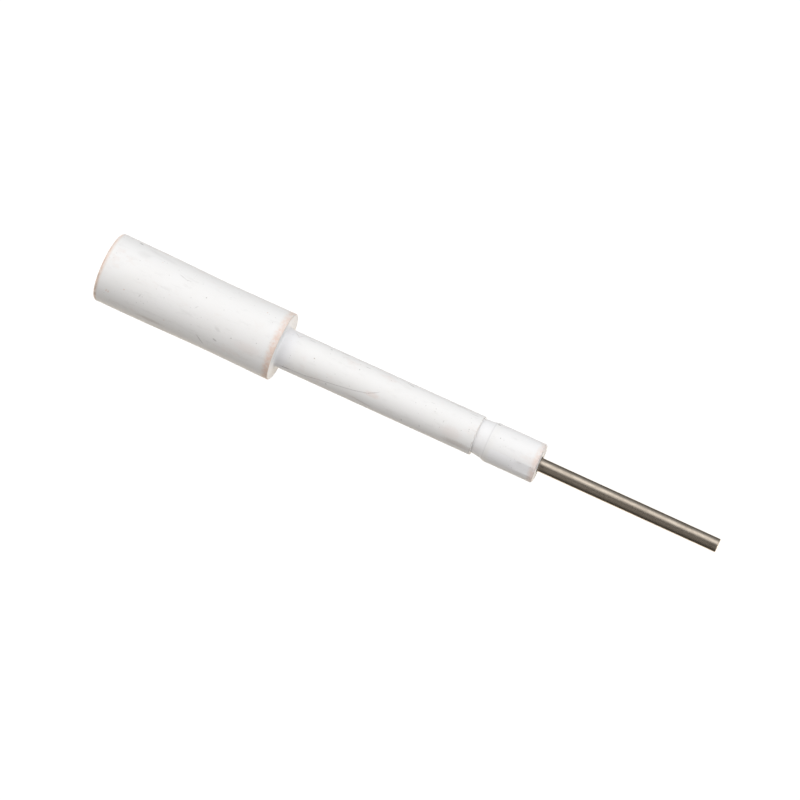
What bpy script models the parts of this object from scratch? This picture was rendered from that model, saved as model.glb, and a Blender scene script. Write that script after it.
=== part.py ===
"""Ignition electrode: a stepped ceramic insulator that carries a spark rod and a plug-in contact.

The rod's axis is +X and points to the spark tip, and +Z is up. The origin is on that axis, in the
plane of the shoulder that bears on the burner's bracket. The socket for the ignition lead opens
to -X.

How it goes together: the lock washer is pushed on the rod, the rod goes in from the socket until
the washer meets the floor of the pocket, refractory cement fills the pocket behind the washer, and
the contact pin is crimped on the rod's rear end with its flange on the socket's floor.
"""

from math import cos, pi, radians, sin

import bmesh
import bpy
from mathutils import Vector

MM = 0.001

# Insulator: head, stem and nose, from the socket's mouth to the face that the rod leaves.
HEAD_LENGTH = 32.7 * MM
HEAD_DIAMETER = 12.2 * MM
HEAD_WAIST_SHRINKAGE = 0.38 * MM
HEAD_FRONT_SHRINKAGE = 0.19 * MM
STEM_LENGTH = 36.0 * MM
STEM_DIAMETER = 6.9 * MM
NOSE_LENGTH = 8.8 * MM
REAR_EDGE_RADIUS = 0.5 * MM
SHOULDER_EDGE_RADIUS = 0.35 * MM
SHOULDER_FILLET = 0.4 * MM
NOSE_EDGE_RADIUS = 0.4 * MM

# Detent groove for the bracket's spring: a square wall behind, a shallow ramp, a steeper run-out.
GROOVE_DEPTH = 0.42 * MM
GROOVE_RAMP_LENGTH = 1.7 * MM
GROOVE_RAMP_RISE = 0.17 * MM
GROOVE_RUNOUT_LENGTH = 0.8 * MM

# Small flat ground along the nose's front edge, facing this way round the axis (0 is +Y, 90 is +Z).
NOSE_FLAT_LENGTH = 3.9 * MM
NOSE_FLAT_RUN_IN = 0.4 * MM
NOSE_FLAT_DEPTH = 0.13 * MM
NOSE_FLAT_ANGLE = 140.0

# Hollows of the insulator. The pocket is what the ledge on the socket's floor leaves open.
SOCKET_DIAMETER = 8.0 * MM
SOCKET_DEPTH = 21.0 * MM
SOCKET_MOUTH_CHAMFER = 0.3 * MM
SOCKET_FLOOR_RADIUS = 0.4 * MM
SOCKET_LEDGE_WIDTH = 1.3 * MM
POCKET_DEPTH = 3.2 * MM
BORE_MOUTH_CHAMFER = 0.1 * MM

# Spark rod.
ROD_DIAMETER = 2.4 * MM
ROD_EXPOSED_LENGTH = 32.3 * MM
ROD_GRIP_IN_PIN = 5.6 * MM
ROD_END_CHAMFER = 0.12 * MM

# Contact pin for the ignition lead.
PIN_DIAMETER = 4.0 * MM
PIN_LENGTH = 12.2 * MM
PIN_NOSE_RADIUS = 1.2 * MM
PIN_FLANGE_THICKNESS = 1.0 * MM
PIN_FLANGE_CHAMFER = 0.15 * MM
CRIMP_COUNT = 2
CRIMP_START = 0.5 * MM
CRIMP_SPACING = 2.2 * MM
CRIMP_WIDTH = 1.1 * MM
CRIMP_DEPTH = 0.18 * MM

# Push-on lock washer.
WASHER_THICKNESS = 0.3 * MM
WASHER_RING_WIDTH = 0.55 * MM
WASHER_DISH = 0.3 * MM
WASHER_FINGERS = 6
WASHER_SLOT_ANGLE = 16.0

# Clearances: at the rod's bore, round the pin's flange, and between pieces that touch.
ROD_BORE_CLEARANCE = 0.15 * MM
FLANGE_CLEARANCE = 0.7 * MM
SEAT_GAP = 0.05 * MM

# Roundness of the turned solids.
SEGMENTS = 48
ARC_STEPS = 4
HEAD_STEPS = 10
SHARP_ANGLE = 35.0

# Radii that follow from the sizes above.
STEM_RADIUS = STEM_DIAMETER / 2
SOCKET_RADIUS = SOCKET_DIAMETER / 2
POCKET_RADIUS = SOCKET_RADIUS - SOCKET_LEDGE_WIDTH
ROD_RADIUS = ROD_DIAMETER / 2
ROD_BORE_RADIUS = ROD_RADIUS + ROD_BORE_CLEARANCE
ON_ROD_RADIUS = ROD_RADIUS + SEAT_GAP
IN_POCKET_RADIUS = POCKET_RADIUS - SEAT_GAP
PIN_RADIUS = PIN_DIAMETER / 2
PIN_FLANGE_RADIUS = SOCKET_RADIUS - FLANGE_CLEARANCE
WASHER_ROOT_RADIUS = IN_POCKET_RADIUS - WASHER_RING_WIDTH

# Places along the axis that follow from the sizes above.
REAR_FACE_X = -HEAD_LENGTH
SOCKET_FLOOR_X = REAR_FACE_X + SOCKET_DEPTH
POCKET_FLOOR_X = SOCKET_FLOOR_X + POCKET_DEPTH
GROOVE_X = STEM_LENGTH
GROOVE_RAMP_END_X = GROOVE_X + GROOVE_RAMP_LENGTH
GROOVE_END_X = GROOVE_RAMP_END_X + GROOVE_RUNOUT_LENGTH
NOSE_FACE_X = GROOVE_END_X + NOSE_LENGTH
NOSE_FLAT_X = NOSE_FACE_X - NOSE_FLAT_LENGTH
ROD_TIP_X = NOSE_FACE_X + ROD_EXPOSED_LENGTH
PIN_SEAT_X = SOCKET_FLOOR_X - SEAT_GAP
ROD_REAR_X = PIN_SEAT_X - ROD_GRIP_IN_PIN


def material(name, colour, roughness, metallic=0.0):
    """A Principled material of one colour."""
    made = bpy.data.materials.new(name)
    made.use_nodes = True
    shader = made.node_tree.nodes["Principled BSDF"]
    shader.inputs["Base Color"].default_value = (*colour, 1.0)
    shader.inputs["Roughness"].default_value = roughness
    shader.inputs["Metallic"].default_value = metallic
    made.diffuse_color = (*colour, 1.0)
    return made


def mesh_from(name, shape):
    """The bmesh as a mesh with its faces turned outwards; it uses the bmesh up."""
    bmesh.ops.recalc_face_normals(shape, faces=shape.faces[:])
    mesh = bpy.data.meshes.new(name)
    shape.to_mesh(mesh)
    shape.free()
    return mesh


def place(mesh, finish, x, rig):
    """The mesh as a smooth-shaded object of the assembly, x along its axis."""
    mesh.materials.append(finish)
    mesh.shade_smooth()
    mesh.set_sharp_from_angle(angle=radians(SHARP_ANGLE))
    made = bpy.data.objects.new(mesh.name, mesh)
    bpy.context.scene.collection.objects.link(made)
    made.parent = rig
    made.location = (x, 0.0, 0.0)
    return made


def arc(centre, radius, start, end):
    """Points (along, radius) on an arc; angles are in degrees, 0 along +X and 90 outwards."""
    angles = [radians(start + (end - start) * i / ARC_STEPS) for i in range(ARC_STEPS + 1)]
    return [(centre[0] + radius * cos(a), centre[1] + radius * sin(a)) for a in angles]


def lathe(name, outline):
    """The mesh of a closed outline of (along, radius) points, turned once round the X axis."""
    shape = bmesh.new()
    loop = [shape.verts.new((along, radius, 0.0)) for along, radius in outline]
    for vert, following in zip(loop, loop[1:] + loop[:1]):
        on_axis = vert.co.y == 0.0 and following.co.y == 0.0
        if not on_axis:
            shape.edges.new((vert, following))
    bmesh.ops.spin(
        shape,
        geom=shape.verts[:] + shape.edges[:],
        axis=(1.0, 0.0, 0.0),
        cent=(0.0, 0.0, 0.0),
        angle=2 * pi,
        steps=SEGMENTS,
        use_merge=True,
    )
    bmesh.ops.remove_doubles(shape, verts=shape.verts[:], dist=0.001 * MM)
    return mesh_from(name, shape)


def head_radius(x):
    """The head's radius at x: firing shrinks it least at its ends, most at the socket's floor."""
    if x < SOCKET_FLOOR_X:
        end_shrinkage = 0.0
        share = ((x - REAR_FACE_X) / SOCKET_DEPTH) ** 1.5
    else:
        end_shrinkage = HEAD_FRONT_SHRINKAGE
        share = x / SOCKET_FLOOR_X
    rise = sin(pi / 2 * share) ** 2
    shrinkage = end_shrinkage + (HEAD_WAIST_SHRINKAGE - end_shrinkage) * rise
    return (HEAD_DIAMETER - shrinkage) / 2


def head_outline():
    """The outside of the head, from the socket's mouth round to the shoulder's fillet."""
    front_radius = (HEAD_DIAMETER - HEAD_FRONT_SHRINKAGE) / 2
    rear = (REAR_FACE_X + REAR_EDGE_RADIUS, HEAD_DIAMETER / 2 - REAR_EDGE_RADIUS)
    front = (-SHOULDER_EDGE_RADIUS, front_radius - SHOULDER_EDGE_RADIUS)
    step = (front[0] - rear[0]) / HEAD_STEPS
    side = [rear[0] + step * i for i in range(1, HEAD_STEPS)]
    fillet = (SHOULDER_FILLET, STEM_RADIUS + SHOULDER_FILLET)
    return [
        *arc(rear, REAR_EDGE_RADIUS, 180, 90),
        *[(x, head_radius(x)) for x in side],
        *arc(front, SHOULDER_EDGE_RADIUS, 90, 0),
        *arc(fillet, SHOULDER_FILLET, 180, 270),
    ]


def groove_outline():
    """The detent groove, from its square wall to the nose."""
    floor = STEM_RADIUS - GROOVE_DEPTH
    return [
        (GROOVE_X, STEM_RADIUS),
        (GROOVE_X, floor),
        (GROOVE_RAMP_END_X, floor + GROOVE_RAMP_RISE),
        (GROOVE_END_X, STEM_RADIUS),
    ]


def nose_outline():
    """The nose, with a ring of points at each end of its flat's run-in."""
    edge = (NOSE_FACE_X - NOSE_EDGE_RADIUS, STEM_RADIUS - NOSE_EDGE_RADIUS)
    return [
        (NOSE_FLAT_X, STEM_RADIUS),
        (NOSE_FLAT_X + NOSE_FLAT_RUN_IN, STEM_RADIUS),
        *arc(edge, NOSE_EDGE_RADIUS, 90, 0),
    ]


def hollow_outline():
    """The inside of the insulator, from the rod's way out back to the socket's mouth."""
    corner = (SOCKET_FLOOR_X - SOCKET_FLOOR_RADIUS, SOCKET_RADIUS - SOCKET_FLOOR_RADIUS)
    return [
        (NOSE_FACE_X, ROD_BORE_RADIUS + BORE_MOUTH_CHAMFER),
        (NOSE_FACE_X - BORE_MOUTH_CHAMFER, ROD_BORE_RADIUS),
        (POCKET_FLOOR_X, ROD_BORE_RADIUS),
        (POCKET_FLOOR_X, POCKET_RADIUS),
        (SOCKET_FLOOR_X, POCKET_RADIUS),
        *arc(corner, SOCKET_FLOOR_RADIUS, 0, 90),
        (REAR_FACE_X + SOCKET_MOUTH_CHAMFER, SOCKET_RADIUS),
        (REAR_FACE_X, SOCKET_RADIUS + SOCKET_MOUTH_CHAMFER),
    ]


def grind_nose_flat(mesh):
    """Moves what stands above the flat's plane, past its run-in, down to that plane."""
    angle = radians(NOSE_FLAT_ANGLE)
    outwards = Vector((0.0, cos(angle), sin(angle)))
    height = STEM_RADIUS - NOSE_FLAT_DEPTH
    start = NOSE_FLAT_X + NOSE_FLAT_RUN_IN / 2
    for vert in mesh.vertices:
        above = vert.co.dot(outwards) - height
        if vert.co.x > start and above > 0.0:
            vert.co -= above * outwards


def make_insulator(rig):
    """The ceramic body, with the socket, the pocket and the rod's bore."""
    outline = [*head_outline(), *groove_outline(), *nose_outline(), *hollow_outline()]
    mesh = lathe("insulator", outline)
    grind_nose_flat(mesh)
    finish = material("unglazed_ceramic", (0.86, 0.85, 0.83), 0.55)
    return place(mesh, finish, 0.0, rig)


def make_electrode_rod(rig):
    """The spark rod, from inside the contact pin to the tip; its local origin is its rear end."""
    length = ROD_TIP_X - ROD_REAR_X
    outline = [
        (0.0, 0.0),
        (0.0, ROD_RADIUS - ROD_END_CHAMFER),
        (ROD_END_CHAMFER, ROD_RADIUS),
        (length - ROD_END_CHAMFER, ROD_RADIUS),
        (length, ROD_RADIUS - ROD_END_CHAMFER),
        (length, 0.0),
    ]
    finish = material("heat_resistant_alloy", (0.50, 0.45, 0.39), 0.35, 1.0)
    return place(lathe("electrode_rod", outline), finish, ROD_REAR_X, rig)


def crimp_outline():
    """The rolled grooves that lock the contact pin on the rod, from the flange rearwards."""
    points = []
    for i in range(CRIMP_COUNT):
        front = -PIN_FLANGE_THICKNESS - CRIMP_START - CRIMP_SPACING * i
        points += [
            (front, PIN_RADIUS),
            (front - CRIMP_WIDTH / 3, PIN_RADIUS - CRIMP_DEPTH),
            (front - CRIMP_WIDTH * 2 / 3, PIN_RADIUS - CRIMP_DEPTH),
            (front - CRIMP_WIDTH, PIN_RADIUS),
        ]
    return points


def make_contact_pin(rig):
    """The plug-in pin; its local origin is where its flange seats on the socket's floor."""
    blind_end = -ROD_GRIP_IN_PIN - SEAT_GAP
    end = -PIN_FLANGE_THICKNESS - PIN_LENGTH
    nose = (end + PIN_NOSE_RADIUS, PIN_RADIUS - PIN_NOSE_RADIUS)
    outline = [
        (blind_end, 0.0),
        (blind_end, ON_ROD_RADIUS),
        (0.0, ON_ROD_RADIUS),
        (0.0, PIN_FLANGE_RADIUS - PIN_FLANGE_CHAMFER),
        (-PIN_FLANGE_CHAMFER, PIN_FLANGE_RADIUS),
        (PIN_FLANGE_CHAMFER - PIN_FLANGE_THICKNESS, PIN_FLANGE_RADIUS),
        (-PIN_FLANGE_THICKNESS, PIN_FLANGE_RADIUS - PIN_FLANGE_CHAMFER),
        (-PIN_FLANGE_THICKNESS, PIN_RADIUS),
        *crimp_outline(),
        *arc(nose, PIN_NOSE_RADIUS, 90, 180),
        (end, 0.0),
    ]
    finish = material("nickel_plated_brass", (0.74, 0.70, 0.63), 0.25, 1.0)
    return place(lathe("contact_pin", outline), finish, PIN_SEAT_X, rig)


def washer_plan():
    """The washer's inner outline, as (angle, radius) pairs once round the axis."""
    pitch = 2 * pi / WASHER_FINGERS
    half_slot = radians(WASHER_SLOT_ANGLE) / 2
    finger = pitch - 2 * half_slot
    plan = []
    for i in range(WASHER_FINGERS):
        start = pitch * i + half_slot
        plan.append((start, WASHER_ROOT_RADIUS))
        plan += [(start + finger * k / ARC_STEPS, ON_ROD_RADIUS) for k in range(ARC_STEPS + 1)]
        plan.append((start + finger, WASHER_ROOT_RADIUS))
    return plan


def make_lock_washer(rig):
    """The push-on washer, its fingers dished to the rear; its origin is on the pocket's floor."""
    shape = bmesh.new()
    rows = []
    for angle, inside in washer_plan():
        across = Vector((0.0, cos(angle), sin(angle)))
        seat = Vector((-SEAT_GAP, 0.0, 0.0))
        dish = Vector((-WASHER_DISH, 0.0, 0.0))
        root = shape.verts.new(seat + WASHER_ROOT_RADIUS * across)
        rim = shape.verts.new(seat + IN_POCKET_RADIUS * across)
        in_slot = inside == WASHER_ROOT_RADIUS
        tip = root if in_slot else shape.verts.new(seat + dish + inside * across)
        rows.append((tip, root, rim))
    for (tip, root, rim), (next_tip, next_root, next_rim) in zip(rows, rows[1:] + rows[:1]):
        shape.faces.new((root, next_root, next_rim, rim))
        if tip is not root and next_tip is not next_root:
            shape.faces.new((tip, next_tip, next_root, root))
    bmesh.ops.remove_doubles(shape, verts=shape.verts[:], dist=0.001 * MM)
    sheet = bmesh.ops.extrude_face_region(shape, geom=shape.faces[:])
    lifted = [item for item in sheet["geom"] if isinstance(item, bmesh.types.BMVert)]
    bmesh.ops.translate(shape, vec=(-WASHER_THICKNESS, 0.0, 0.0), verts=lifted)
    finish = material("spring_steel", (0.42, 0.42, 0.43), 0.4, 1.0)
    return place(mesh_from("lock_washer", shape), finish, POCKET_FLOOR_X, rig)


def make_cement_plug(rig):
    """The cement behind the washer; its local origin is in the plane of the socket's floor."""
    washer_back = POCKET_DEPTH - 2 * SEAT_GAP - WASHER_THICKNESS
    dip = (washer_back - WASHER_DISH) / 4
    outline = [
        (dip, ON_ROD_RADIUS),
        (0.0, (ON_ROD_RADIUS + IN_POCKET_RADIUS) / 2),
        (0.0, IN_POCKET_RADIUS),
        (washer_back, IN_POCKET_RADIUS),
        (washer_back, WASHER_ROOT_RADIUS),
        (washer_back - WASHER_DISH, ON_ROD_RADIUS),
    ]
    finish = material("refractory_cement", (0.70, 0.64, 0.54), 0.9)
    return place(lathe("cement_plug", outline), finish, SOCKET_FLOOR_X, rig)


def main():
    """Clears the scene and makes the assembly under one empty."""
    for old in list(bpy.data.objects):
        bpy.data.objects.remove(old)
    rig = bpy.data.objects.new("ignition_electrode", None)
    bpy.context.scene.collection.objects.link(rig)
    make_insulator(rig)
    make_electrode_rod(rig)
    make_lock_washer(rig)
    make_cement_plug(rig)
    make_contact_pin(rig)


main()
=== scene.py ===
"""The looks of an ignition electrode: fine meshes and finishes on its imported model.

Everything is in metres, in the model's frame: +X runs along the spark rod to its tip, +Z is up,
and the origin is on the axis in the plane of the insulator's shoulder. Round the axis, 0 degrees
is the top and 90 degrees faces -Y.
"""

from __future__ import annotations

import logging
from dataclasses import dataclass, field
from enum import Enum
from math import atan2, cos, degrees, hypot, pi, radians, sin
from typing import Callable, Mapping, Sequence, Union

import bmesh
import bpy
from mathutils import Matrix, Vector, noise


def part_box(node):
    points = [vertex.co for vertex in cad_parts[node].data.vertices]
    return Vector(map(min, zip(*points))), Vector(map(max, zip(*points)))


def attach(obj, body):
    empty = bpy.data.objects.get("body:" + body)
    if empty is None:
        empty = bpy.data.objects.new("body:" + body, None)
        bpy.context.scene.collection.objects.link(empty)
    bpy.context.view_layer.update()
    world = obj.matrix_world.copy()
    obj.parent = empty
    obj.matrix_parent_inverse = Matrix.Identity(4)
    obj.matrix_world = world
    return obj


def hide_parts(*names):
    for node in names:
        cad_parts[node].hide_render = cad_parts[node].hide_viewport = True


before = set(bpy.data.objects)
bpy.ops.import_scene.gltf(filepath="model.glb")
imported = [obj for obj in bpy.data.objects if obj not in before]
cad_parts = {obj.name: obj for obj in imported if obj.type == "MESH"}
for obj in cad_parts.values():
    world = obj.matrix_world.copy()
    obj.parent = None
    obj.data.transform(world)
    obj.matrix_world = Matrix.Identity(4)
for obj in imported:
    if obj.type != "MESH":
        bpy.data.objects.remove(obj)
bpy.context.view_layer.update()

LOG = logging.getLogger("ignition_electrode")
MM = 0.001
Colour = tuple[float, float, float]
Points = list[tuple[float, float]]
Form = Callable[[Vector], Vector]


# Shader maths


class Sock:
    """A shader socket that takes part in Python expressions."""

    def __init__(self, shader: Shader, socket: bpy.types.NodeSocket) -> None:
        """Wraps a socket of the shader's node tree."""
        self.shader = shader
        self.socket = socket

    def __add__(self, other: Number) -> Sock:
        """Self plus other."""
        return self.shader.math("ADD", self, other)

    def __radd__(self, other: Number) -> Sock:
        """Other plus self."""
        return self.shader.math("ADD", other, self)

    def __sub__(self, other: Number) -> Sock:
        """Self minus other."""
        return self.shader.math("SUBTRACT", self, other)

    def __rsub__(self, other: Number) -> Sock:
        """Other minus self."""
        return self.shader.math("SUBTRACT", other, self)

    def __mul__(self, other: Number) -> Sock:
        """Self times other."""
        return self.shader.math("MULTIPLY", self, other)

    def __rmul__(self, other: Number) -> Sock:
        """Other times self."""
        return self.shader.math("MULTIPLY", other, self)

    def __truediv__(self, other: Number) -> Sock:
        """Self over other."""
        return self.shader.math("DIVIDE", self, other)

    def __rtruediv__(self, other: Number) -> Sock:
        """Other over self."""
        return self.shader.math("DIVIDE", other, self)

    def __pow__(self, other: Number) -> Sock:
        """Self to the power of other."""
        return self.shader.math("POWER", self, other)

    def most(self, other: Number) -> Sock:
        """The larger of self and other."""
        return self.shader.math("MAXIMUM", self, other)

    def ease(self, start: float, end: float) -> Sock:
        """Rises smoothly from 0 where self is start to 1 where it is end.

        Args:
            start: the value of self that gives 0.
            end: the value of self that gives 1; it may be the smaller one.

        Returns:
            The eased value, from 0 to 1.
        """
        settings = {"interpolation_type": "SMOOTHSTEP"}
        values = {"Value": self, "From Min": start, "From Max": end}
        return self.shader.node("ShaderNodeMapRange", settings, values, "Result")

    def band(self, start: float, end: float, fade: float) -> Sock:
        """1 between start and end, fading smoothly to 0 outside them.

        Args:
            start: where the band begins.
            end: where the band ends.
            fade: how far it fades beyond each end.

        Returns:
            The band's mask, from 0 to 1.
        """
        return self.ease(start - fade, start) * self.ease(end + fade, end)


Number = Union[Sock, float]
Value = Union[Sock, float, Sequence[float]]
Key = Union[str, int]


class Shader:
    """The node tree of a material or a world, with positions in millimetres."""

    def __init__(self, name: str, world: bpy.types.World | None = None) -> None:
        """Makes an empty tree with an output node.

        Args:
            name: the name of the material to make.
            world: the world to use in place of a new material.
        """
        self.material = world or bpy.data.materials.new(name)
        self.material.use_nodes = True
        self.tree = self.material.node_tree
        self.tree.nodes.clear()
        kind = "ShaderNodeOutputWorld" if world else "ShaderNodeOutputMaterial"
        self.output = self.tree.nodes.new(kind)

    def node(
        self,
        kind: str,
        settings: Mapping[str, object],
        values: Mapping[Key, Value],
        result: Key = 0,
    ) -> Sock:
        """Adds one node.

        Args:
            kind: the node's type.
            settings: its properties, which are set first.
            values: its inputs by name or number, each a number, a vector, a colour or a socket.
            result: the name or number of the output to return.

        Returns:
            The node's output.
        """
        made = self.tree.nodes.new(kind)
        for name, setting in settings.items():
            setattr(made, name, setting)
        for name, value in values.items():
            if isinstance(value, Sock):
                self.tree.links.new(value.socket, made.inputs[name])
            else:
                made.inputs[name].default_value = value
        return Sock(self, made.outputs[result])

    def math(self, operation: str, *values: Number) -> Sock:
        """One Math node on one or two values."""
        return self.node("ShaderNodeMath", {"operation": operation}, dict(enumerate(values)))

    def mix(self, share: Number, first: Value, second: Value) -> Sock:
        """Blends two colours.

        Args:
            share: how much of the second colour shows, from 0 to 1.
            first: the colour underneath.
            second: the colour on top.

        Returns:
            The blended colour.
        """
        settings = {"data_type": "RGBA"}
        colours = [value if isinstance(value, Sock) else (*value, 1.0) for value in (first, second)]
        return self.node("ShaderNodeMix", settings, {0: share, 6: colours[0], 7: colours[1]}, 2)

    def place(self) -> Sock:
        """The position on the piece, in millimetres."""
        where = self.node("ShaderNodeTexCoord", {}, {}, "Object")
        return self.node("ShaderNodeVectorMath", {"operation": "SCALE"}, {0: where, "Scale": 1 / MM})

    def split(self, vector: Sock) -> tuple[Sock, Sock, Sock]:
        """The three parts of a vector."""
        parts = [self.node("ShaderNodeSeparateXYZ", {}, {0: vector}, axis) for axis in "XYZ"]
        return parts[0], parts[1], parts[2]

    def stretch(self, vector: Sock, scale: Sequence[float]) -> Sock:
        """The vector with each part multiplied by its own scale."""
        return self.node("ShaderNodeVectorMath", {"operation": "MULTIPLY"}, {0: vector, 1: scale})

    def noise(self, vector: Sock, scale: float, detail: float = 2.0, rough: float = 0.5) -> Sock:
        """Smooth noise from 0 to 1.

        Args:
            vector: the position, in millimetres.
            scale: how many times it varies in a millimetre.
            detail: how many finer layers it has.
            rough: how strong the finer layers are.

        Returns:
            The noise.
        """
        values = {"Vector": vector, "Scale": scale, "Detail": detail, "Roughness": rough}
        return self.node("ShaderNodeTexNoise", {}, values)

    def dots(self, vector: Sock, scale: float, size: float, share: float) -> Sock:
        """Round specks, one in some of the cells of a grid.

        Args:
            vector: the position, in millimetres.
            scale: how many cells there are in a millimetre.
            size: a speck's radius as a share of its cell.
            share: the share of cells that have a speck.

        Returns:
            The specks' mask, from 0 to 1.
        """
        values = {"Vector": vector, "Scale": scale}
        settings = {"feature": "F1"}
        cell = self.node("ShaderNodeTexVoronoi", settings, values, "Distance")
        chance = self.node("ShaderNodeTexVoronoi", settings, values, "Color")
        red = self.node("ShaderNodeSeparateColor", {}, {0: chance}, 0)
        return cell.ease(size, size * 0.3) * red.ease(1 - share, 1 - share * 0.6)

    def bump(self, height: Sock, depth: float, under: Sock | None = None) -> Sock:
        """Turns a height from 0 to 1 into a normal.

        Args:
            height: the height.
            depth: how far in metres a height of 1 stands out.
            under: the normal of a coarser bump that this one lies on.

        Returns:
            The normal.
        """
        values: dict[Key, Value] = {"Height": height, "Distance": depth, "Strength": 1.0}
        if under is not None:
            values["Normal"] = under
        return self.node("ShaderNodeBump", {}, values, "Normal")

    def finish(self, **values: Value) -> bpy.types.Material:
        """Ends the material in a Principled shader.

        Args:
            values: the shader's inputs, with _ for each space in their names.

        Returns:
            The material.
        """
        inputs: dict[Key, Value] = {}
        for name, value in values.items():
            is_colour = name == "Base_Color" and not isinstance(value, Sock)
            inputs[name.replace("_", " ")] = (*value, 1.0) if is_colour else value
        surface = self.node("ShaderNodeBsdfPrincipled", {}, inputs)
        self.tree.links.new(surface.socket, self.output.inputs["Surface"])
        return self.material


# Finishes


class Tone(Enum):
    """The colours that the ceramic's marks are made in."""

    GRAPHITE = (0.30, 0.28, 0.26)
    RUST = (0.62, 0.36, 0.24)
    BROWN = (0.36, 0.27, 0.20)
    # Painted shade for the inside of the rod's bore.
    BORE_SHADE = (0.05, 0.04, 0.035)


@dataclass(frozen=True)
class Mark:
    """A rub or a speck on the ceramic; sizes in millimetres, angles in degrees."""

    along: float
    around: float
    length: float
    width: float
    tilt: float = 0.0
    strength: float = 0.5
    tone: Tone = Tone.GRAPHITE

    def mask(self, shader: Shader, x: Sock, turn: Sock, radius: Sock, ragged: Sock) -> Sock:
        """The mark's mask.

        Args:
            shader: the material's shader.
            x: the place along the axis.
            turn: the angle round the axis.
            radius: the distance from the axis.
            ragged: noise from -1 to 1 that frays the mark's edge.

        Returns:
            The mark's mask, from 0 to its strength.
        """
        across = (turn - self.around) * radius * (pi / 180)
        ahead = x - self.along
        lean = radians(self.tilt)
        run = (ahead * cos(lean) + across * sin(lean)) * (2 / self.length)
        side = (across * cos(lean) - ahead * sin(lean)) * (2 / self.width)
        reach = shader.math("SQRT", run * run + side * side)
        return (reach + ragged * 0.7).ease(1.25, 0.45) * self.strength


@dataclass(frozen=True)
class Scratch:
    """A thin line over the ceramic through (along, around) points; millimetres and degrees."""

    path: Sequence[tuple[float, float]]
    radius: float
    width: float
    strength: float
    tone: Tone = Tone.GRAPHITE
    overlap: float = 1.4

    def marks(self) -> list[Mark]:
        """Makes one long thin mark for each leg of the path.

        Returns:
            The marks.
        """
        marks = []
        for (x, turn), (next_x, next_turn) in zip(self.path, self.path[1:]):
            run = next_x - x
            rise = radians(next_turn - turn) * self.radius
            length = hypot(run, rise) * self.overlap
            middle = ((x + next_x) / 2, (turn + next_turn) / 2)
            tilt = degrees(atan2(rise, run))
            marks.append(Mark(*middle, length, self.width, tilt, self.strength, self.tone))
        return marks


@dataclass(frozen=True)
class Specks:
    """Random round specks, one in some of the cells of a grid."""

    scale: float
    size: float
    share: float
    strength: float

    def mask(self, shader: Shader, place: Sock) -> Sock:
        """The specks' mask, from 0 to their strength."""
        return shader.dots(place, self.scale, self.size, self.share) * self.strength


@dataclass(frozen=True)
class Spot:
    """A point on the ceramic, in millimetres and degrees, and its mottle, noise from 0 to 1."""

    place: Sock
    x: Sock
    turn: Sock
    radius: Sock
    across_flat: Sock
    mottle: Sock


@dataclass(frozen=True)
class Rim:
    """Fired-clay colour along one outer rim: from where to where it rises, and how strong it gets."""

    along: tuple[float, float]
    outwards: tuple[float, float]
    strength: float

    def tint(self, x: Sock, radius: Sock) -> Sock:
        """The tint's share, from 0 to its strength."""
        return x.ease(*self.along) * radius.ease(*self.outwards) * self.strength


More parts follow.
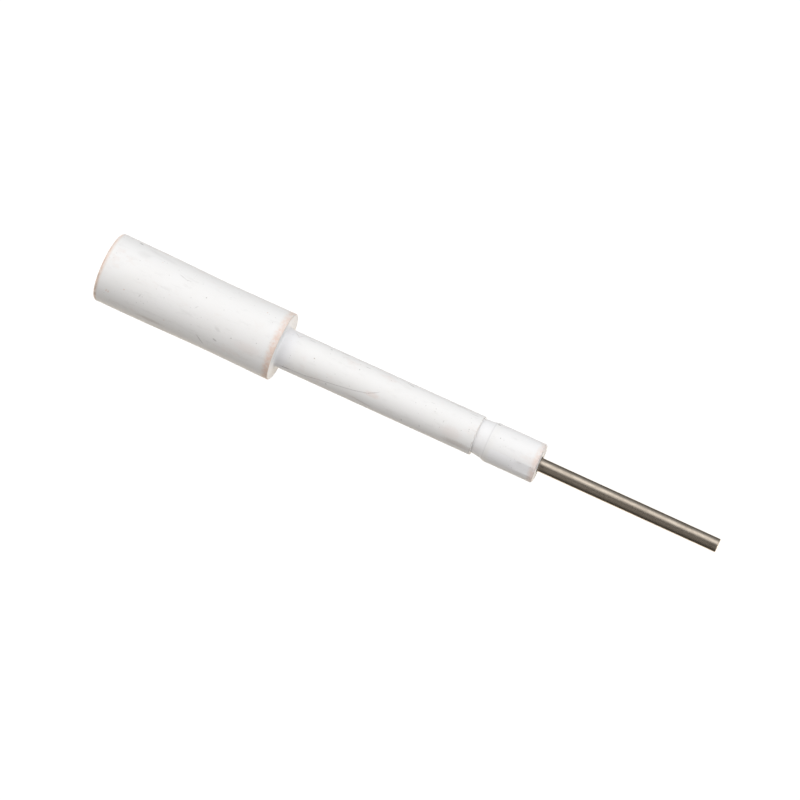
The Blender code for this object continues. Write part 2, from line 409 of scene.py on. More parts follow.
@dataclass(frozen=True)
class Ceramic:
    """White unglazed fired alumina, handled and a little dirty; sizes in millimetres."""

    rear_x: float
    nose_x: float
    groove_x: float
    groove_end_x: float
    bore_edge: float
    flat_turn: float
    flat_height: float
    marks: Sequence[Mark] = ()
    white: Colour = (0.845, 0.835, 0.82)
    cloudy: Colour = (0.825, 0.81, 0.785)
    clean: Colour = (0.865, 0.86, 0.862)
    clay: Colour = (0.72, 0.50, 0.38)
    soil: float = 0.10
    rosiness: float = 0.12
    # The strengths of the painted shade on the groove's wall, along the ramp's edge and in the bore's
    # mouth.
    groove_wall_shade: float = 0.35
    ramp_shade: float = 0.14
    bore_shade: float = 0.8
    fine_specks: Specks = Specks(scale=1.7, size=0.2, share=0.2, strength=0.38)
    coarse_specks: Specks = Specks(scale=0.75, size=0.11, share=0.22, strength=0.5)
    rust_specks: Specks = Specks(scale=0.8, size=0.12, share=0.06, strength=0.45)
    grain_depth: float = 0.006 * MM
    turning_depth: float = 0.004 * MM

    def spot(self, shader: Shader) -> Spot:
        """Works out where the shaded point lies.

        Args:
            shader: the material's shader.

        Returns:
            The point.
        """
        place = shader.place()
        x, y, z = shader.split(place)
        tilt = radians(self.flat_turn)
        return Spot(
            place=place,
            x=x,
            turn=shader.math("ARCTAN2", 0 - y, z) * (180 / pi),
            radius=shader.math("SQRT", y * y + z * z),
            across_flat=z * cos(tilt) - y * sin(tilt),
            mottle=shader.noise(place, 1.6, 4.0, 0.6),
        )

    def rim_tint(self, spot: Spot) -> Sock:
        """How much fired-clay colour shows along the three outer rims.

        Args:
            spot: the shaded point.

        Returns:
            The tint's share, from 0 to 1.
        """
        x, radius = spot.x, spot.radius
        fray = spot.mottle - 0.5
        frayed = x + fray * 0.35
        shoulder = Rim((-1.6, -0.5), (5.6, 5.8), 0.72).tint(frayed, radius)
        behind_face = x.ease(0.02, -0.06)
        rear = Rim((self.rear_x + 0.9, self.rear_x + 0.25), (5.0, 5.6), 0.8).tint(frayed, radius)
        nose = Rim((self.nose_x - 1.3, self.nose_x - 0.35), (3.05, 3.25), 0.5).tint(frayed, radius)
        uneven_share = (spot.turn + fray * 30).ease(-140, 60) * 0.5 + 0.5
        patchy = spot.mottle.ease(0.3, 0.62) * 0.6 + 0.4
        return (shoulder * behind_face + rear + nose) * uneven_share * patchy

    def cleaned(self, spot: Spot) -> Sock:
        """Where the surface stayed clean: by the shoulder, in the groove and on the flat.

        Args:
            spot: the shaded point.

        Returns:
            The clean surface's mask, from 0 to 1.
        """
        x, radius = spot.x, spot.radius
        base = x.band(0.0, 1.2, 2.2) * radius.ease(6.0, 5.6)
        groove = x.band(self.groove_x + 0.1, self.groove_end_x - 0.2, 0.2)
        groove = groove * radius.ease(3.47, 3.40) * 0.6
        flat = spot.across_flat.ease(self.flat_height - 0.03, self.flat_height - 0.01)
        flat = flat * x.ease(self.groove_end_x, self.groove_end_x + 1.0)
        nose = x.ease(self.groove_end_x, self.groove_end_x + 1.5) * 0.4
        return base.most(groove).most(flat).most(nose)

    def ground(self, shader: Shader, spot: Spot) -> Sock:
        """The ceramic's own colour: cloudy white, cleaner in places, with clay on its rims.

        Args:
            shader: the material's shader.
            spot: the shaded point.

        Returns:
            The colour.
        """
        cloud = shader.noise(spot.place, 0.22, 3.0)
        colour = shader.mix(cloud.ease(0.35, 0.7) * 0.35, self.white, self.cloudy)
        colour = shader.mix(self.cleaned(spot), colour, self.clean)
        return shader.mix(self.rim_tint(spot), colour, self.clay)

    def soiled(self, shader: Shader, spot: Spot, colour: Sock) -> Sock:
        """Adds the faint soil and painted shade on the groove's wall, the ramp's edge and the bore's
        mouth.

        Args:
            shader: the material's shader.
            spot: the shaded point.
            colour: the colour so far.

        Returns:
            The colour.
        """
        x, radius = spot.x, spot.radius
        soil = shader.noise(shader.stretch(spot.place, (0.35, 1.0, 1.0)), 0.9, 5.0, 0.72)
        colour = shader.mix(soil.ease(0.52, 0.72) * self.soil, colour, Tone.GRAPHITE.value)
        rosy = shader.noise(shader.stretch(spot.place, (0.6, 1.0, 1.0)), 0.3, 4.0, 0.7)
        colour = shader.mix(rosy.ease(0.55, 0.75) * self.rosiness, colour, Tone.RUST.value)
        # Painted shade in the groove's corner: brown patches that darken the groove's wall.
        wall = x.band(self.groove_x - 0.14, self.groove_x, 0.08) * radius.ease(3.36, 3.42)
        uneven_share = wall * spot.mottle.ease(0.42, 0.6) * self.groove_wall_shade
        colour = shader.mix(uneven_share, colour, Tone.BROWN.value)
        # Painted shade: a dark line along the edge where the ramp meets the nose.
        ramp_line = x.band(self.groove_end_x - 0.4, self.groove_end_x - 0.25, 0.1)
        shade = ramp_line * radius.ease(2.9, 3.1) * self.ramp_shade
        colour = shader.mix(shade, colour, Tone.GRAPHITE.value)
        # Painted shade: darkens the bore's wall near the nose, where the bore's shadow falls.
        bore_shadow = radius.ease(self.bore_edge + 0.04, self.bore_edge - 0.04)
        bore_shadow = bore_shadow * x.ease(self.nose_x - 3.0, self.nose_x - 1.0)
        return shader.mix(bore_shadow * self.bore_shade, colour, Tone.BORE_SHADE.value)

    def marked(self, shader: Shader, spot: Spot, colour: Sock) -> Sock:
        """Adds the random specks, and the marks, which are on the outside only.

        Args:
            shader: the material's shader.
            spot: the shaded point.
            colour: the colour so far.

        Returns:
            The colour.
        """
        fine = self.fine_specks.mask(shader, spot.place)
        coarse = self.coarse_specks.mask(shader, spot.place)
        colour = shader.mix(fine.most(coarse), colour, Tone.GRAPHITE.value)
        rust = self.rust_specks.mask(shader, shader.stretch(spot.place, (0.9, 1.1, 1.0)))
        colour = shader.mix(rust, colour, Tone.RUST.value)
        outside = (spot.radius - spot.x.ease(0.1, -0.1) * 2.7).ease(2.0, 2.3)
        ragged = shader.noise(spot.place, 5.0, 3.0, 0.7) * 2 - 1
        for mark in self.marks:
            mask = mark.mask(shader, spot.x, spot.turn, spot.radius, ragged) * outside
            colour = shader.mix(mask, colour, mark.tone.value)
        return colour

    def material(self) -> bpy.types.Material:
        """Makes the finish.

        Returns:
            The material.
        """
        shader = Shader("unglazed_ceramic_finish")
        spot = self.spot(shader)
        colour = self.soiled(shader, spot, self.ground(shader, spot))
        colour = self.marked(shader, spot, colour)
        grain = shader.noise(spot.place, 9.0, 3.0, 0.6)
        turned = shader.noise(shader.stretch(spot.place, (5.0, 0.25, 0.25)), 1.0, 2.0)
        coarse_bump = shader.bump(turned, self.turning_depth)
        normal = shader.bump(grain, self.grain_depth, coarse_bump)
        roughness = 0.5 + spot.mottle * 0.14
        return shader.finish(Base_Color=colour, Roughness=roughness, Normal=normal)


class Lay(Enum):
    """Which way a metal's tool marks run, as their scale along x, y and z."""

    DRAWN = (0.25, 9.0, 9.0)
    TURNED = (11.0, 0.2, 0.2)
    STAMPED = (2.0, 2.0, 2.0)


@dataclass(frozen=True)
class Metal:
    """A bare metal with tool marks, stains and small pits."""

    name: str
    bright: Colour
    dull: Colour
    roughness: float
    lay: Lay
    mark_depth: float = 0.004 * MM
    stain: float = 0.5
    line_stain: float = 0.35
    pit_shade: float = 0.5
    cloud_haze: float = 0.12
    line_haze: float = 0.08

    def material(self) -> bpy.types.Material:
        """Makes the finish.

        Returns:
            The material.
        """
        shader = Shader(self.name)
        place = shader.place()
        lines = shader.noise(shader.stretch(place, self.lay.value), 1.0, 4.0, 0.65)
        cloud = shader.noise(shader.stretch(place, (0.5, 1.0, 1.0)), 1.3, 4.0, 0.6)
        pits = shader.dots(place, 3.5, 0.25, 0.12)
        colour = shader.mix(cloud.ease(0.35, 0.7) * self.stain, self.bright, self.dull)
        colour = shader.mix(lines.ease(0.45, 0.75) * self.line_stain, colour, self.dull)
        dark = [part * self.pit_shade for part in self.dull]
        colour = shader.mix(pits * 0.5, colour, dark)
        roughness = self.roughness + cloud * self.cloud_haze + lines * self.line_haze
        marks = shader.bump(lines, self.mark_depth)
        normal = shader.bump(1 - pits, self.mark_depth, marks)
        return shader.finish(Base_Color=colour, Metallic=1.0, Roughness=roughness, Normal=normal)


@dataclass(frozen=True)
class Cement:
    """Buff refractory cement, gritty and matt."""

    buff: Colour = (0.66, 0.59, 0.48)
    grit: Colour = (0.42, 0.36, 0.29)
    lump_depth: float = 0.05 * MM
    grain_depth: float = 0.02 * MM

    def material(self) -> bpy.types.Material:
        """Makes the finish.

        Returns:
            The material.
        """
        shader = Shader("refractory_cement_finish")
        place = shader.place()
        cloud = shader.noise(place, 0.9, 4.0, 0.6)
        grains = shader.dots(place, 4.0, 0.4, 0.4)
        colour = shader.mix(cloud.ease(0.3, 0.7) * 0.4, self.buff, self.grit)
        colour = shader.mix(grains * 0.5, colour, self.grit)
        lumps = shader.bump(shader.noise(place, 3.0, 5.0, 0.7), self.lump_depth)
        normal = shader.bump(grains, self.grain_depth, lumps)
        return shader.finish(Base_Color=colour, Roughness=0.85 + cloud * 0.1, Normal=normal)


# Meshes


class Outline:
    """A closed outline of (along, radius) points, for the lathe to turn round the axis."""

    def __init__(self, along: float, radius: float) -> None:
        """Starts the outline at a point."""
        self.points: Points = [(along, radius)]

    def line(self, along: float, radius: float, steps: int = 1) -> Outline:
        """Runs straight to a point.

        Args:
            along: the point's place along the axis.
            radius: its distance from the axis.
            steps: how many pieces the line is cut into.

        Returns:
            The outline.
        """
        start = Vector(self.points[-1])
        end = Vector((along, radius))
        for i in range(1, steps + 1):
            point = start.lerp(end, i / steps)
            self.points.append((point.x, point.y))
        return self

    def arc(
        self,
        centre: tuple[float, float],
        size: float,
        start: float,
        end: float,
        steps: int = 8,
    ) -> Outline:
        """Runs along an arc.

        Args:
            centre: the arc's centre as (along, radius).
            size: the arc's radius.
            start: the angle where it starts, in degrees, 0 along +X and 90 outwards.
            end: the angle where it ends.
            steps: how many pieces the arc is cut into.

        Returns:
            The outline.
        """
        for i in range(steps + 1):
            angle = radians(start + (end - start) * i / steps)
            self.points.append((centre[0] + size * cos(angle), centre[1] + size * sin(angle)))
        return self

    def follow(self, radius_at: Callable[[float], float], end: float, steps: int) -> Outline:
        """Runs along the axis to a place, with the radius that a function gives.

        Args:
            radius_at: gives the radius at a place along the axis.
            end: the place where it ends.
            steps: how many pieces the run is cut into.

        Returns:
            The outline.
        """
        start = self.points[-1][0]
        for i in range(1, steps + 1):
            along = start + (end - start) * i / steps
            self.points.append((along, radius_at(along)))
        return self


class Lathe:
    """Turns outlines into smooth meshes."""

    sharp_angle: float = 32.0
    weld: float = 0.0005 * MM

    def __init__(self, segments: int) -> None:
        """Sets how many segments a full turn has."""
        self.segments = segments

    def turn(self, name: str, outline: Outline, form: Form | None = None) -> bpy.types.Object:
        """Turns a closed outline once round the X axis.

        Args:
            name: the piece's name.
            outline: the outline; points on the axis have a radius of 0.
            form: moves each finished point, for what the lathe can't turn.

        Returns:
            The piece, in place.
        """
        shape = bmesh.new()
        rings = [self.ring(shape, along, radius, form) for along, radius in outline.points]
        for ring, following in zip(rings, rings[1:] + rings[:1]):
            self.bridge(shape, ring, following)
        bmesh.ops.remove_doubles(shape, verts=shape.verts[:], dist=self.weld)
        return piece_from(name, shape, self.sharp_angle)

    def ring(
        self, shape: bmesh.types.BMesh, along: float, radius: float, form: Form | None
    ) -> list[bmesh.types.BMVert]:
        """Adds the points of one ring; a ring on the axis is a single point.

        Args:
            shape: the bmesh to add them to.
            along: the ring's place along the axis.
            radius: its distance from the axis.
            form: moves each point, if given.

        Returns:
            The points.
        """
        count = self.segments if radius > 0 else 1
        ring = []
        for i in range(count):
            angle = 2 * pi * i / count
            point = Vector((along, -radius * sin(angle), radius * cos(angle)))
            ring.append(shape.verts.new(form(point) if form else point))
        return ring

    def bridge(
        self,
        shape: bmesh.types.BMesh,
        ring: list[bmesh.types.BMVert],
        following: list[bmesh.types.BMVert],
    ) -> None:
        """Joins two neighbouring rings with faces; two points on the axis need none.

        Args:
            shape: the bmesh that holds the rings.
            ring: the first ring.
            following: the second ring.
        """
        if len(ring) == 1 and len(following) == 1:
            return
        for i in range(self.segments):
            corners = [
                ring[i % len(ring)],
                ring[(i + 1) % len(ring)],
                following[(i + 1) % len(following)],
                following[i % len(following)],
            ]
            shape.faces.new(list(dict.fromkeys(corners)))


def piece_from(name: str, shape: bmesh.types.BMesh, sharp_angle: float) -> bpy.types.Object:
    """Makes a smooth-shaded piece of a bmesh, which it uses up.

    Args:
        name: the piece's name.
        shape: the bmesh.
        sharp_angle: edges that turn more than this many degrees stay sharp.

    Returns:
        The piece, linked to the scene.
    """
    bmesh.ops.recalc_face_normals(shape, faces=shape.faces[:])
    mesh = bpy.data.meshes.new(name)
    shape.to_mesh(mesh)
    shape.free()
    mesh.shade_smooth()
    mesh.set_sharp_from_angle(angle=radians(sharp_angle))
    piece = bpy.data.objects.new(name, mesh)
    bpy.context.scene.collection.objects.link(piece)
    return piece


def dress(
    piece: bpy.types.Object, finish: bpy.types.Material, node: str
) -> bpy.types.Object:
    """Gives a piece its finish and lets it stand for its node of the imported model.

    Args:
        piece: the piece.
        finish: its material.
        node: the node that it replaces.

    Returns:
        The piece.
    """
    piece.data.materials.append(finish)
    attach(piece, "root")
    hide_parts(node)
    return piece


# Sizes that the pieces share


@dataclass(frozen=True)
class Fit:
    """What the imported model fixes: places along the axis and radii, in metres."""

    rear_x: float
    nose_x: float
    tip_x: float
    head_radius: float
    rod_radius: float
    rod_rear_x: float
    pin_seat_x: float
    pin_end_x: float
    flange_radius: float
    washer_seat_x: float
    pocket_piece_radius: float
    cement_x: float
    seat_gap: float = 0.05 * MM

    @classmethod
    def from_frame(cls) -> Fit:
        """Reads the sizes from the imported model's nodes.

        Returns:
            The sizes.
        """
        body_low, body_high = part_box("insulator")
        rod_low, rod_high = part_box("electrode_rod")
        pin_low, pin_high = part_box("contact_pin")
        washer_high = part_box("lock_washer")[1]
        return cls(
            rear_x=body_low.x,
            nose_x=body_high.x,
            tip_x=rod_high.x,
            head_radius=body_high.z,
            rod_radius=rod_high.z,
            rod_rear_x=rod_low.x,
            pin_seat_x=pin_high.x,
            pin_end_x=pin_low.x,
            flange_radius=pin_high.z,
            washer_seat_x=washer_high.x,
            pocket_piece_radius=washer_high.z,
            cement_x=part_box("cement_plug")[0].x,
        )

    @property
    def socket_floor_x(self) -> float:
        """Where the socket's floor is."""
        return self.pin_seat_x + self.seat_gap

    @property
    def pocket_floor_x(self) -> float:
        """Where the floor of the washer's pocket is."""
        return self.washer_seat_x + self.seat_gap


# Sub-assemblies


@dataclass
class Insulator:
    """The ceramic body, turned before it is fired, so that it comes out a little uneven."""

    fit: Fit
    waist_shrinkage: float = 0.19 * MM
    front_shrinkage: float = 0.095 * MM
    stem_radius: float = 3.45 * MM
    rear_edge: float = 0.5 * MM
    shoulder_edge: float = 0.2 * MM
    shoulder_fillet: float = 0.4 * MM
    nose_edge: float = 0.42 * MM
    groove_x: float = 36.0 * MM
    groove_depth: float = 0.42 * MM
    ramp_length: float = 1.7 * MM
    ramp_rise: float = 0.17 * MM
    runout_length: float = 0.8 * MM
    groove_edge: float = 0.06 * MM
    flat_length: float = 3.9 * MM
    flat_run_in: float = 0.6 * MM
    flat_depth: float = 0.13 * MM
    flat_turn: float = 50.0
    socket_clearance: float = 0.7 * MM
    socket_chamfer: float = 0.3 * MM
    socket_corner: float = 0.4 * MM
    bore_clearance: float = 0.15 * MM
    bore_chamfer: float = 0.1 * MM
    unevenness: float = 0.012 * MM
    swells: float = 0.16 / MM
    groove_offset: float = 0.09 * MM
    head_lean: float = 0.009
    nose_slant: float = 0.012
    lathe: Lathe = field(default_factory=lambda: Lathe(240))

    @property
    def groove_end_x(self) -> float:
        """Where the groove runs out on the nose."""
        return self.groove_x + self.ramp_length + self.runout_length

    @property
    def socket_radius(self) -> float:
        """The socket's radius."""
        return self.fit.flange_radius + self.socket_clearance

    def head_radius(self, x: float) -> float:
        """The head's radius: firing shrinks it least at its ends, most at the socket's floor.

        Args:
            x: the place along the axis.

        Returns:
            The radius.
        """
        fit = self.fit
        if x < fit.socket_floor_x:
            end = 0.0
            share = ((x - fit.rear_x) / (fit.socket_floor_x - fit.rear_x)) ** 1.5
        else:
            end = self.front_shrinkage
            share = x / fit.socket_floor_x
        rise = sin(pi / 2 * share) ** 2
        return fit.head_radius - end - (self.waist_shrinkage - end) * rise

    def outline(self) -> Outline:
        """Draws the body, outside first and then the hollows from the nose to the socket.

        Returns:
            The outline.
        """
        fit = self.fit
        rear = (fit.rear_x + self.rear_edge, fit.head_radius - self.rear_edge)
        front_radius = fit.head_radius - self.front_shrinkage
        front = (-self.shoulder_edge, front_radius - self.shoulder_edge)
        fillet = (self.shoulder_fillet, self.stem_radius + self.shoulder_fillet)
        floor = self.stem_radius - self.groove_depth
        wall = (self.groove_x - self.groove_edge, self.stem_radius - self.groove_edge)
        nose = (fit.nose_x - self.nose_edge, self.stem_radius - self.nose_edge)
        bore = fit.rod_radius + self.bore_clearance
        pocket = fit.pocket_piece_radius + fit.seat_gap
        socket = self.socket_radius
        corner = (fit.socket_floor_x - self.socket_corner, socket - self.socket_corner)
        shape = Outline(fit.rear_x, socket + self.socket_chamfer)
        shape.line(fit.rear_x, rear[1], 3).arc(rear, self.rear_edge, 180, 90)
        shape.follow(self.head_radius, front[0], 60).arc(front, self.shoulder_edge, 90, 0)
        shape.line(0.0, fillet[1], 6).arc(fillet, self.shoulder_fillet, 180, 270)
        shape.line(wall[0], self.stem_radius, 50).arc(wall, self.groove_edge, 90, 0, 4)
        shape.line(self.groove_x, floor)
        shape.line(self.groove_x + self.ramp_length, floor + self.ramp_rise, 6)
        shape.line(self.groove_end_x, self.stem_radius, 3)
        shape.line(fit.nose_x - self.flat_length, self.stem_radius, 8)
        shape.line(fit.nose_x - self.flat_length + self.flat_run_in, self.stem_radius)
        shape.line(nose[0], self.stem_radius, 10).arc(nose, self.nose_edge, 90, 0)
        shape.line(fit.nose_x, bore + self.bore_chamfer, 3)
        shape.line(fit.nose_x - self.bore_chamfer, bore).line(fit.pocket_floor_x, bore, 20)
        shape.line(fit.pocket_floor_x, pocket).line(fit.socket_floor_x, pocket, 3)
        shape.arc(corner, self.socket_corner, 0, 90)
        shape.line(fit.rear_x + self.socket_chamfer, socket, 20)
        return shape

    def form(self, point: Vector) -> Vector:
        """Makes a turned point a little uneven, rubs the flat, and sets the groove and ends askew.

        The head leans on the outside only, since its socket is drilled true to the bore.

        Args:
            point: the point as turned.

        Returns:
            The point as it is on the finished body.
        """
        fit = self.fit
        radius = hypot(point.y, point.z)
        swell = noise.noise(point * self.swells) * self.unevenness
        point = Vector((point.x, *(point.yz * (1 + swell / radius))))

        turn = radians(self.flat_turn)
        outwards = Vector((0.0, -sin(turn), cos(turn)))
        above = point.dot(outwards) - (self.stem_radius - self.flat_depth)
        in_flat = point.x > fit.nose_x - self.flat_length + self.flat_run_in / 2
        if in_flat and above > 0:
            point -= above * outwards

        sunk = (self.stem_radius - radius) / self.groove_depth
        if self.groove_x - self.groove_edge < point.x < self.groove_end_x and sunk < 1.1:
            point.y += self.groove_offset * sunk

        if point.x > fit.nose_x - self.nose_edge * 1.5:
            point.x -= self.nose_slant * point.y
        if point.x < 0 and radius > self.socket_radius + self.socket_chamfer * 1.1:
            point.y -= self.head_lean * point.x
        return point

    def stem_marks(self) -> list[Mark]:
        """Lists the long streak, the rubs along the top and the specks on the stem and the nose.

        Returns:
            The marks.
        """
        radius = self.stem_radius / MM
        streak = ((1.4, 75), (5.7, 70), (8.0, 62), (11.3, 53), (14.3, 45), (16.7, 35), (18.3, 21))
        marks = Scratch(streak, radius, 0.2, 0.32).marks()
        marks += Scratch(((1.4, -47), (2.2, -34), (2.8, -50)), radius, 0.13, 0.32).marks()
        return marks + [
            Mark(2.1, 74, 1.7, 0.32, -5, 0.55),
            Mark(16.0, 72, 4.2, 0.35, 8, 0.28, Tone.BROWN),
            Mark(4.5, -44, 1.3, 0.24, 0, 0.30),
            Mark(8.0, -44, 0.4, 0.40, 0, 0.35),
            Mark(10.4, -54, 1.7, 0.22, 0, 0.40),
            Mark(14.9, -37, 1.1, 0.16, 0, 0.42),
            Mark(22.6, -47, 1.6, 0.22, 15, 0.48),
            Mark(27.3, -17, 0.8, 0.12, 0, 0.22),
            Mark(31.2, -54, 3.4, 0.26, 0, 0.38),
            Mark(34.2, -41, 2.0, 0.16, 0, 0.28),
            Mark(38.7, -49, 0.5, 0.30, 0, 0.65),
            Mark(6.2, 8, 0.24, 0.24, 0, 0.55, Tone.BROWN),
            Mark(13.8, -17, 0.22, 0.22, 0, 0.50),
            Mark(9.5, 65, 0.36, 0.28, 0, 0.50),
            Mark(23.5, 71, 0.28, 0.40, 0, 0.40),
            Mark(26.7, 63, 0.30, 0.25, 0, 0.45),
            Mark(30.2, 19, 0.14, 0.50, 0, 0.35),
            Mark(17.5, 34, 2.8, 1.1, 0, 0.16, Tone.RUST),
            Mark(32.0, 40, 4.0, 2.4, 0, 0.10, Tone.RUST),
            Mark(33.5, 67, 5.5, 1.3, 0, 0.28, Tone.BROWN),
        ]

    def head_marks(self) -> list[Mark]:
        """Lists the rubs and specks on the head.

        Returns:
            The marks.
        """
        radius = self.fit.head_radius / MM
        marks = Scratch(((-20.0, -24), (-18.6, -20), (-17.8, -21)), radius, 0.16, 0.26).marks()
        marks += Scratch(((-13.3, 62), (-12.1, 74)), radius, 0.30, 0.35).marks()
        return marks + [
            Mark(-28.7, -55, 0.9, 0.40, 15, 0.60),
            Mark(-27.0, -30, 2.6, 1.6, 0, 0.08),
            Mark(-24.0, -45, 6.0, 1.0, 8, 0.08),
            Mark(-30.4, 53, 0.30, 0.50, 20, 0.35, Tone.RUST),
            Mark(-30.0, 54, 0.28, 0.50, 20, 0.32, Tone.RUST),
            Mark(-27.5, 38, 0.30, 0.25, 0, 0.40, Tone.RUST),
            Mark(-24.6, 36, 0.20, 0.80, 25, 0.28),
            Mark(-22.0, 76, 5.5, 0.9, 0, 0.22, Tone.BROWN),
            Mark(-15.0, 15, 0.16, 0.70, 40, 0.24),
            Mark(-14.2, -6, 0.26, 0.26, 0, 0.45),
            Mark(-10.3, 34, 1.3, 0.60, 25, 0.16),
            Mark(-10.2, 54, 0.80, 0.36, 20, 0.42),
            Mark(-7.6, 38, 0.24, 0.24, 0, 0.45),
            Mark(-3.3, 28, 0.24, 0.20, 0, 0.42),
            Mark(-4.5, 43, 5.0, 2.2, 0, 0.08, Tone.RUST),
            Mark(-4.0, -28, 0.30, 0.26, 0, 0.40, Tone.RUST),
            Mark(-32.5, 34, 0.40, 1.0, 0, 0.40, Tone.BROWN),
            Mark(-32.4, 56, 0.40, 1.8, 0, 0.36, Tone.BROWN),
            Mark(-32.3, 72, 0.60, 1.1, 0, 0.40, Tone.BROWN),
            Mark(-32.5, 10, 0.40, 1.6, 0, 0.35, Tone.RUST),
        ]

    def build(self) -> bpy.types.Object:
        """Makes the body and gives it its ceramic finish.

        Returns:
            The body.
        """
        piece = self.lathe.turn("ceramic_body", self.outline(), self.form)
        finish = Ceramic(
            rear_x=self.fit.rear_x / MM,
            nose_x=self.fit.nose_x / MM,
            groove_x=self.groove_x / MM,
            groove_end_x=self.groove_end_x / MM,
            bore_edge=(self.fit.rod_radius + self.bore_clearance + self.bore_chamfer) / MM,
            flat_turn=self.flat_turn,
            flat_height=(self.stem_radius - self.flat_depth) / MM,
            marks=self.stem_marks() + self.head_marks(),
        )
        return dress(piece, finish.material(), "insulator")


@dataclass
class SparkRod:
    """The heat-resistant wire that the spark jumps from, cut off square at its tip."""

    fit: Fit
    end_chamfer: float = 0.15 * MM
    bend_x: float = 5.0 * MM
    lean: float = 0.0016
    lathe: Lathe = field(default_factory=lambda: Lathe(96))

    def form(self, point: Vector) -> Vector:
        """Leans the free end a little to -Y, as the clearance in its bore lets it."""
        return point - Vector((0.0, self.lean * max(point.x - self.bend_x, 0.0), 0.0))

    def build(self) -> bpy.types.Object:
        """Makes the rod and gives it its drawn-wire finish.

        Returns:
            The rod.
        """
        fit = self.fit
        inner = fit.rod_radius - self.end_chamfer
        outline = Outline(fit.rod_rear_x, 0.0).line(fit.rod_rear_x, inner, 3)
        outline.line(fit.rod_rear_x + self.end_chamfer, fit.rod_radius)
        outline.line(fit.tip_x - self.end_chamfer, fit.rod_radius, 60)
        outline.arc((fit.tip_x - self.end_chamfer, inner), self.end_chamfer, 90, 0, 6)
        outline.line(fit.tip_x, 0.0, 3)
        piece = self.lathe.turn("spark_rod", outline, self.form)
        finish = Metal(
            name="drawn_wire_finish",
            bright=(0.47, 0.41, 0.34),
            dull=(0.24, 0.20, 0.16),
            roughness=0.22,
            lay=Lay.DRAWN,
        )
        return dress(piece, finish.material(), "electrode_rod")


@dataclass
class ContactPin:
    """The plug-in pin, turned from brass, nickel plated and crimped on the rod."""

    fit: Fit
    radius: float = 2.0 * MM
    nose: float = 1.2 * MM
    flange: float = 1.0 * MM
    flange_edge: float = 0.15 * MM
    grip: float = 5.65 * MM
    crimp_start: float = 0.5 * MM
    crimp_pitch: float = 2.2 * MM
    crimp_width: float = 1.1 * MM
    crimp_depth: float = 0.18 * MM
    crimps: int = 2
    lathe: Lathe = field(default_factory=lambda: Lathe(128))

    def radius_at(self, x: float) -> float:
        """The shank's radius, which dips smoothly in each crimp.

        Args:
            x: the place along the axis.

        Returns:
            The radius.
        """
        start = self.fit.pin_seat_x - self.flange - self.crimp_start
        for i in range(self.crimps):
            share = (start - self.crimp_pitch * i - x) / self.crimp_width
            if 0 < share < 1:
                return self.radius - self.crimp_depth * sin(pi * share) ** 2
        return self.radius

    def build(self) -> bpy.types.Object:
        """Makes the pin and gives it its plated finish.

        Returns:
            The pin.
        """
        fit = self.fit
        bore = fit.rod_radius + fit.seat_gap
        seat = fit.pin_seat_x
        edge = fit.flange_radius - self.flange_edge
        end = (fit.pin_end_x + self.nose, self.radius - self.nose)
        outline = Outline(seat - self.grip, 0.0).line(seat - self.grip, bore).line(seat, bore, 6)
        outline.line(seat, edge, 3).arc((seat - self.flange_edge, edge), self.flange_edge, 0, 90, 4)
        back = seat - self.flange + self.flange_edge
        outline.arc((back, edge), self.flange_edge, 90, 180, 4)
        outline.line(seat - self.flange, self.radius, 3)
        outline.follow(self.radius_at, end[0], 90).arc(end, self.nose, 90, 180, 12)
        outline.line(fit.pin_end_x, 0.0, 2)
        piece = self.lathe.turn("plug_pin", outline)
        finish = Metal(
            name="nickel_plate_finish",
            bright=(0.78, 0.74, 0.66),
            dull=(0.60, 0.55, 0.47),
            roughness=0.14,
            lay=Lay.TURNED,
            mark_depth=0.002 * MM,
            stain=0.35,
        )
        return dress(piece, finish.material(), "contact_pin")


@dataclass
class Pocket:
    """What the pocket behind the rod's bore holds: the lock washer and the cement."""

    fit: Fit

    def build(self) -> list[bpy.types.Object]:
        """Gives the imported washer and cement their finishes.

        Returns:
            The washer and the cement.
        """
        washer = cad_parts["lock_washer"]
        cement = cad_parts["cement_plug"]
        steel = Metal(
            name="spring_steel_finish",
            bright=(0.46, 0.46, 0.47),
            dull=(0.28, 0.28, 0.30),
            roughness=0.3,
            lay=Lay.STAMPED,
        )
        washer.material_slots[0].material = steel.material()
        cement.material_slots[0].material = Cement().material()
        return [washer, cement]


# Studio


@dataclass(frozen=True)
class Viewpoint:
    """Where the camera stands, in degrees and metres."""

    azimuth: float = 25.52
    elevation: float = 72.24
    distance: float = 0.6
    lens: float = 162.4
    aim: tuple[float, float, float] = (21.67 * MM, 0.07 * MM, 0.03 * MM)

    def build(self) -> bpy.types.Object:
        """Makes the scene's camera.

        Returns:
            The camera.
        """
        turn = radians(self.azimuth)
        rise = radians(self.elevation)
        back = Vector((sin(turn) * cos(rise), -cos(turn) * cos(rise), sin(rise)))
        lens = bpy.data.cameras.new("camera")
        lens.lens = self.lens
        lens.clip_end = 10.0
        camera = bpy.data.objects.new("camera", lens)
        bpy.context.scene.collection.objects.link(camera)
        camera.location = Vector(self.aim) + back * self.distance
        camera.rotation_euler = (-back).to_track_quat("-Z", "Y").to_euler()
        bpy.context.scene.camera = camera
        return camera


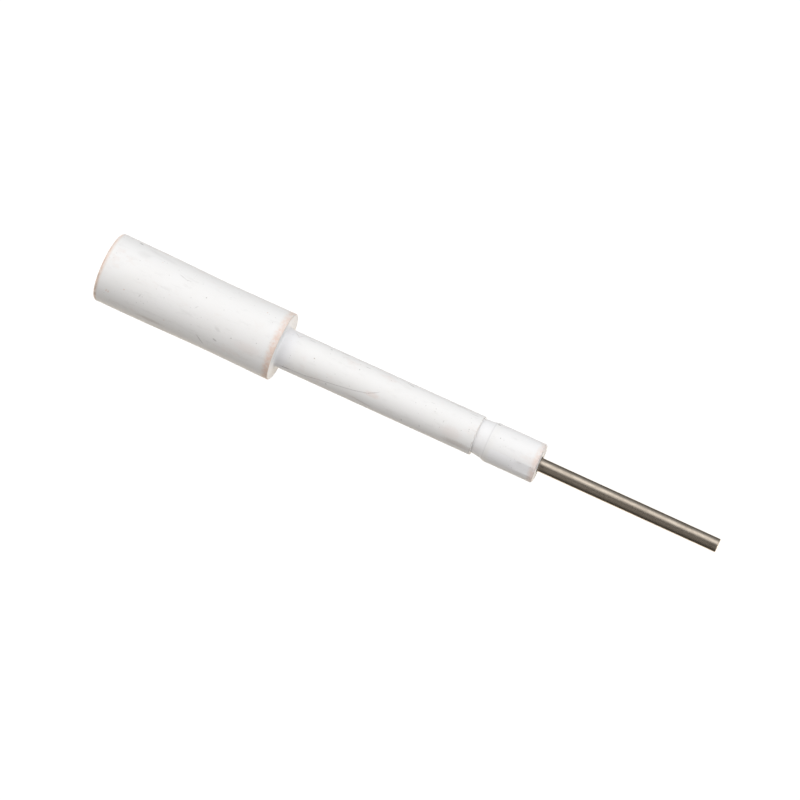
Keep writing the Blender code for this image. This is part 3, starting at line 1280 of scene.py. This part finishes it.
@dataclass(frozen=True)
class Panel:
    """A soft panel of the light tent, with angles in degrees.

    It runs along the whole object, or only where a direction's lean towards +X is in its reach.
    """

    turn: float
    spread: float
    glow: Colour
    reach: tuple[float, float] | None = None
    fade: float = 0.1

    def light(self, shader: Shader, turn: Sock, x: Sock) -> Sock:
        """The panel's light, brightest along its middle.

        Args:
            shader: the tent's shader.
            turn: the angle round the axis.
            x: how far the direction leans towards +X, from -1 to 1.

        Returns:
            The light, as a colour.
        """
        limits = {0: turn - self.turn, 1: 180.0, 2: -180.0}
        off = shader.node("ShaderNodeMath", {"operation": "WRAP"}, limits) / self.spread
        share = (1 - off * off).most(0.0) ** 2
        if self.reach:
            share = share * x.band(*self.reach, self.fade)
        values = {0: self.glow, "Scale": share}
        return shader.node("ShaderNodeVectorMath", {"operation": "SCALE"}, values)


@dataclass(frozen=True)
class Tent:
    """The light tent's dim cloth and its panels."""

    cloth: Colour = (0.01, 0.01, 0.01)
    panels: Sequence[Panel] = (
        Panel(-26, 47, (1.95, 1.96, 1.99)),
        Panel(74, 58, (0.14, 0.13, 0.12)),
        Panel(-79, 45, (0.36, 0.37, 0.38)),
        Panel(-173, 56, (2.80, 2.50, 2.10), reach=(-1.20, 0.55)),
        Panel(46, 80, (1.30, 1.28, 1.26), reach=(-0.75, -0.30)),
        Panel(46, 80, (0.80, 0.80, 0.82), reach=(0.30, 1.20)),
    )

    def build(self) -> bpy.types.World:
        """Makes the tent as the scene's world.

        Returns:
            The world.
        """
        world = bpy.data.worlds.new("light_tent")
        world.use_nodes = True
        shader = Shader("light_tent", world)
        x, y, z = shader.split(shader.node("ShaderNodeTexCoord", {}, {}, "Generated"))
        turn = shader.math("ARCTAN2", 0 - y, z) * (180 / pi)
        light = None
        for panel in self.panels:
            under = self.cloth if light is None else light
            above = panel.light(shader, turn, x)
            light = shader.node("ShaderNodeVectorMath", {"operation": "ADD"}, {0: under, 1: above})
        tent = shader.node("ShaderNodeBackground", {}, {"Color": light, "Strength": 1.0})
        shader.tree.links.new(tent.socket, shader.output.inputs["Surface"])
        bpy.context.scene.world = world
        return world


@dataclass(frozen=True)
class Studio:
    """A white sweep in a light tent."""

    floor_z: float
    sweep_radius: float = 3.0
    white: Colour = (1.08, 1.08, 1.08)
    floor_size: float = 0.6
    sharp_angle: float = 30.0

    @staticmethod
    def glowing(name: str, colour: Colour) -> bpy.types.Material:
        """Makes a material that gives off one even colour.

        Args:
            name: the material's name.
            colour: the colour.

        Returns:
            The material.
        """
        shader = Shader(name)
        glow = shader.node("ShaderNodeEmission", {}, {"Color": (*colour, 1.0), "Strength": 1.0})
        shader.tree.links.new(glow.socket, shader.output.inputs["Surface"])
        return shader.material

    @staticmethod
    def show_to_camera_only(prop: bpy.types.Object) -> None:
        """Keeps a prop's light and shadow off the object.

        Args:
            prop: the prop.
        """
        prop.visible_diffuse = False
        prop.visible_glossy = False
        prop.visible_transmission = False
        prop.visible_shadow = False

    def floor(self) -> bpy.types.Object:
        """Makes the white sheet that the object lies on.

        Returns:
            The sheet.
        """
        shape = bmesh.new()
        bmesh.ops.create_grid(shape, size=self.floor_size / 2)
        sheet = piece_from("floor", shape, self.sharp_angle)
        sheet.location.z = self.floor_z
        sheet.data.materials.append(self.glowing("floor_glow", self.white))
        self.show_to_camera_only(sheet)
        return sheet

    def sweep(self) -> bpy.types.Object:
        """Makes the white background all round.

        Returns:
            The sweep.
        """
        shape = bmesh.new()
        bmesh.ops.create_uvsphere(shape, u_segments=48, v_segments=24, radius=self.sweep_radius)
        sweep = piece_from("sweep", shape, self.sharp_angle)
        sweep.data.materials.append(self.glowing("sweep_glow", self.white))
        self.show_to_camera_only(sweep)
        return sweep

    def build(self) -> None:
        """Makes the floor, the sweep and the light tent."""
        self.floor()
        self.sweep()
        Tent().build()
        bpy.context.scene.view_settings.view_transform = "Standard"


def main() -> None:
    """Builds the camera, the studio and every piece, and reports each one."""
    logging.basicConfig(level=logging.INFO, format="%(message)s")
    fit = Fit.from_frame()
    Viewpoint().build()
    Studio(floor_z=-fit.head_radius).build()
    pieces = [Insulator(fit).build(), SparkRod(fit).build(), ContactPin(fit).build()]
    pieces += Pocket(fit).build()
    for piece in pieces:
        LOG.info("%s: %d faces", piece.name, len(piece.data.polygons))


if __name__ == "__main__":
    main()
